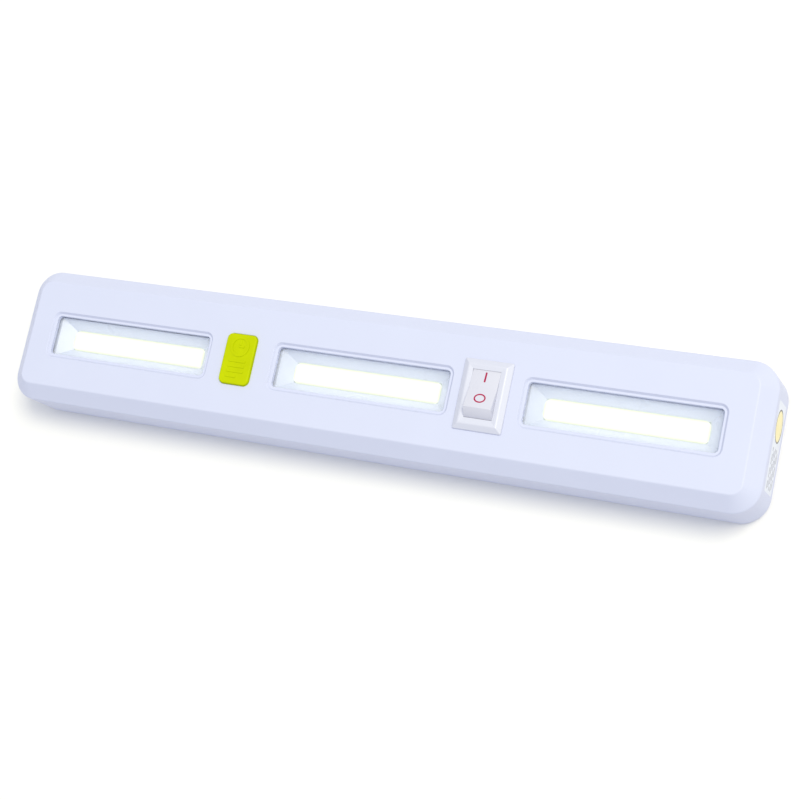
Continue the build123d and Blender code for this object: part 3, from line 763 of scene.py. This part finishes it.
# %% Label sheet
label_low, label_high = corners_mm("end_label")
label_middle = (label_low + label_high) / 2
label_size, label_corner = (25.4, 10.9), 0.8
label_rows = stack([(0.0, -0.05), (0.0, 0.008), (0.03, 0.012)], label_size, label_corner, steps=5)
across, up_wall = label_rows[..., 0] + label_middle[1], label_rows[..., 1] + label_middle[2]
proud = label_rows[..., 2]
wall_x = body_length / 2 - draft * (up_wall - parting_z) / (bevel_z - parting_z)
label_grid = np.stack([wall_x + proud, across, up_wall], axis=-1)
piece("label_sheet", [label_grid], label_paper, "case", ["end_label"],
      lids=[label_grid[0][::-1], label_grid[-1]])

# %% [markdown]
# ## Finishes of the parts inside and behind
# The CAD's own shapes are right for the back, the door, the cells and the electronics, so they
# stay and only get their finish. Each has its own: brushed nickel on the magnets and plates,
# printed sleeves on the cells, a woven glass board with its green lacquer, matt black chip
# bodies, glossy wire sleeves.

# %% Metals, boards and wires
METAL, PLASTIC = 1.0, 0.0
ACROSS_GRAIN = (1.0, 9.0, 1.0)
# Each row: name, colour, roughness, metallic, grain, its depth, mottle, patches, spread of gloss.
rows = (
    ("screw_steel", (0.56, 0.56, 0.58, 1.0), 0.34, METAL, 900.0, 12e-6, 0.12, 200.0, 0.10),
    ("spring_steel", (0.66, 0.66, 0.68, 1.0), 0.28, METAL, 1500.0, 6e-6, 0.08, 260.0, 0.08),
    ("plate_nickel", (0.70, 0.69, 0.66, 1.0), 0.26, METAL, 500.0, 8e-6, 0.08, 120.0, 0.08,
     ACROSS_GRAIN),
    ("magnet_nickel", (0.72, 0.72, 0.72, 1.0), 0.16, METAL, 700.0, 5e-6, 0.08, 150.0, 0.07),
    ("contact_brass", (0.80, 0.60, 0.26, 1.0), 0.30, METAL, 900.0, 6e-6, 0.12, 220.0, 0.08),
    ("board_green", (0.016, 0.17, 0.055, 1.0), 0.30, PLASTIC, 1500.0, 12e-6, 0.25, 300.0, 0.08),
    ("led_board_white", (0.44, 0.50, 0.50, 1.0), 0.40, PLASTIC, 1500.0, 10e-6, 0.05, 200.0),
    ("black_chip", (0.016, 0.016, 0.018, 1.0), 0.55, PLASTIC, 2600.0, 10e-6, 0.30, 300.0),
    ("component_ceramic", (0.32, 0.24, 0.16, 1.0), 0.45, PLASTIC, 2400.0, 8e-6, 0.35, 420.0),
    ("wire_red", (0.56, 0.012, 0.014, 1.0), 0.36, PLASTIC, 1500.0, 10e-6, 0.15, 120.0),
    ("wire_black", (0.014, 0.014, 0.016, 1.0), 0.36, PLASTIC, 1500.0, 10e-6, 0.20, 120.0),
)
plain = {row[0]: moulded(*row) for row in rows}
print(len(plain), "finishes:", *plain)

# %% Cell sleeves
def cell_sleeve(name, plus):
    """A cell's sleeve: steel blue, a copper band at the plus end and bare metal at both tips."""
    material, tree, shader = new_finish(name)
    along_bar = place_axes(tree)[0]

    def beyond(x):
        """1 where the point lies further than x along the bar, towards the plus end."""
        side = "GREATER_THAN" if plus > 0 else "LESS_THAN"
        return math_node(tree, side, along_bar, plus * x * MM)

    wear = ramp(tree, noise(tree, 500.0, 5.0), 0.0, 1.0)
    blue = mix_colour(tree, wear, srgb(34, 66, 120), srgb(42, 78, 138))
    banded = mix_colour(tree, beyond(13.0), blue, srgb(196, 132, 72))
    metal = mix_colour(tree, beyond(23.4), banded, (0.72, 0.72, 0.72, 1.0))
    tip = mix_colour(tree, beyond(-19.0), (0.66, 0.66, 0.67, 1.0), metal)
    tree.links.new(tip, shader.inputs["Base Color"])
    shader.inputs["Metallic"].default_value = 0.75
    tree.links.new(ramp(tree, noise(tree, 260.0), 0.22, 0.36), shader.inputs["Roughness"])
    bump(tree, shader, noise(tree, 1800.0), 8e-6)
    return material


# %% Which part gets which finish
finishes = {"rear_cover": cover_white, "battery_door": cover_white}
wearers = {
    "board_green": ["timer_board"],
    "black_chip": ["tact_switch", "timer_chip"],
    "led_board_white": ["tact_plunger", *[f"cob_board_{place}" for place in places]],
    "component_ceramic": ["board_components"],
    "contact_brass": ["rocker_plunger", "contact_blade", "switch_terminals"],
    "spring_steel": ["rocker_spring", "battery_springs"],
    "plate_nickel": ["battery_plates"],
    "magnet_nickel": ["magnets"],
    "screw_steel": ["housing_screws", "reflector_screws", "board_screws"],
    "wire_red": ["battery_lead_positive", "switch_lead",
                 *[f"light_lead_{place}_red" for place in places]],
    "wire_black": ["battery_lead_negative", *[f"light_lead_{place}_black" for place in places]],
}
for finish, names in wearers.items():
    finishes.update({name: plain[finish] for name in names})
for cell, plus in ((1, 1), (2, -1), (3, 1)):
    finishes[f"cell_{cell}"] = cell_sleeve(f"cell_sleeve_{cell}", plus)
for place in places:
    finishes[f"reflector_{place}"] = funnel_bright
    finishes[f"lens_{place}"] = lens_clear
for name, material in finishes.items():
    nodes[name].data.materials.clear()
    nodes[name].data.materials.append(material)
replaced = {name for made in bpy.data.objects for name in made.get("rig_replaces", [])}
unfinished = sorted(set(nodes) - set(finishes) - replaced)
print(len(finishes), "CAD parts have their finish; left over:", unfinished)

# %% [markdown]
# ## Floor, light and camera
# The bar lies on a plain white table in soft light. A bright even sky does much of the work, and
# one large lamp high on the right gives the planes their different tones: the right bevel is
# brightest, the near wall darkest. A weak lamp overhead lifts the face. The table is bright
# enough to come out white, so that only the shadow close to the bar is seen.

# %% Floor
table_half = 6
floor_mesh = bpy.data.meshes.new("floor")
floor_mesh.from_pydata(
    [(sx * table_half, sy * table_half, 0) for sx, sy in ((-1, -1), (1, -1), (1, 1), (-1, 1))], [],
    [(0, 1, 2, 3)])
floor = bpy.data.objects.new("floor", floor_mesh)
bpy.context.scene.collection.objects.link(floor)
table_white = moulded("table_white", (0.84, 0.83, 0.83, 1.0), 0.7, grain=500.0, depth=1e-5,
                      mottle=0.01, broad=8.0, specular=0.1)
table_shader = next(n for n in table_white.node_tree.nodes if n.type == "BSDF_PRINCIPLED")
table_shader.inputs["Emission Color"].default_value = (0.6, 0.7, 1.0, 1.0)
table_shader.inputs["Emission Strength"].default_value = 0.05
floor_mesh.materials.append(table_white)
floor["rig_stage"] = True

# %% Sky and lamps
scene = bpy.context.scene
scene.view_settings.view_transform = "Standard"
world = bpy.data.worlds.new("white_sky")
world.use_nodes = True
sky = next(n for n in world.node_tree.nodes if n.type == "BACKGROUND")
sky.inputs["Color"].default_value = (0.88, 0.92, 1.0, 1.0)
sky.inputs["Strength"].default_value = 0.70
scene.world = world


def soft_lamp(name, towards, distance, size, watts):
    """A square lamp at distance times the unit vector towards it, facing the bar."""
    data = bpy.data.lights.new(name, "AREA")
    data.shape, data.size, data.energy = "SQUARE", size, watts
    lamp = bpy.data.objects.new(name, data)
    way = Vector(towards).normalized()
    lamp.location = way * distance
    lamp.rotation_mode = "QUATERNION"
    lamp.rotation_quaternion = way.to_track_quat("Z", "Y")
    scene.collection.objects.link(lamp)
    return lamp


key = soft_lamp("key_lamp", (0.20, 0.10, 0.42), 2.5, 1.0, 38.0)
key.data.color = (1.0, 0.96, 0.74)
overhead = soft_lamp("overhead_lamp", (0.0, 0.1, 1.0), 1.2, 1.0, 2.4)
overhead.data.color = (0.98, 0.98, 0.86)
print("sky", sky.inputs["Strength"].default_value, "key", key.data.energy, "W")

# %% Camera
view_target = Vector((14.64, -4.68, 22.0)) * MM
view_azimuth, view_elevation, view_roll = (math.radians(a) for a in (68.54, 65.567, -58.14))
view_distance = 472.9 * MM
back = Vector((math.sin(view_azimuth) * math.cos(view_elevation),
               -math.cos(view_azimuth) * math.cos(view_elevation), math.sin(view_elevation)))
level_right = (-back).cross(Vector((0, 0, 1))).normalized()
level_up = level_right.cross(-back)
right = level_right * math.cos(view_roll) + level_up * math.sin(view_roll)
up = level_up * math.cos(view_roll) - level_right * math.sin(view_roll)
camera_data = bpy.data.cameras.new("camera")
camera_data.lens, camera_data.sensor_width = 72.9, 36.0
camera_data.clip_start, camera_data.clip_end = 0.01, 50.0
camera = bpy.data.objects.new("camera", camera_data)
camera.matrix_world = Matrix((right, up, back)).transposed().to_4x4()
camera.location = view_target + back * view_distance
scene.collection.objects.link(camera)
scene.camera = camera

# %% [markdown]
# ## The finished size
# The finished model's box is printed in millimetres, with the number of new pieces. The
# finished model has to stay in the CAD's box.

# %% Sizes and finish
visual_box = [list(corner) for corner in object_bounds()]
in_mm = [[round(1000 * c, 2) for c in p] for p in visual_box]
print(len(pieces_made), "new pieces; visual box in mm", in_mm)
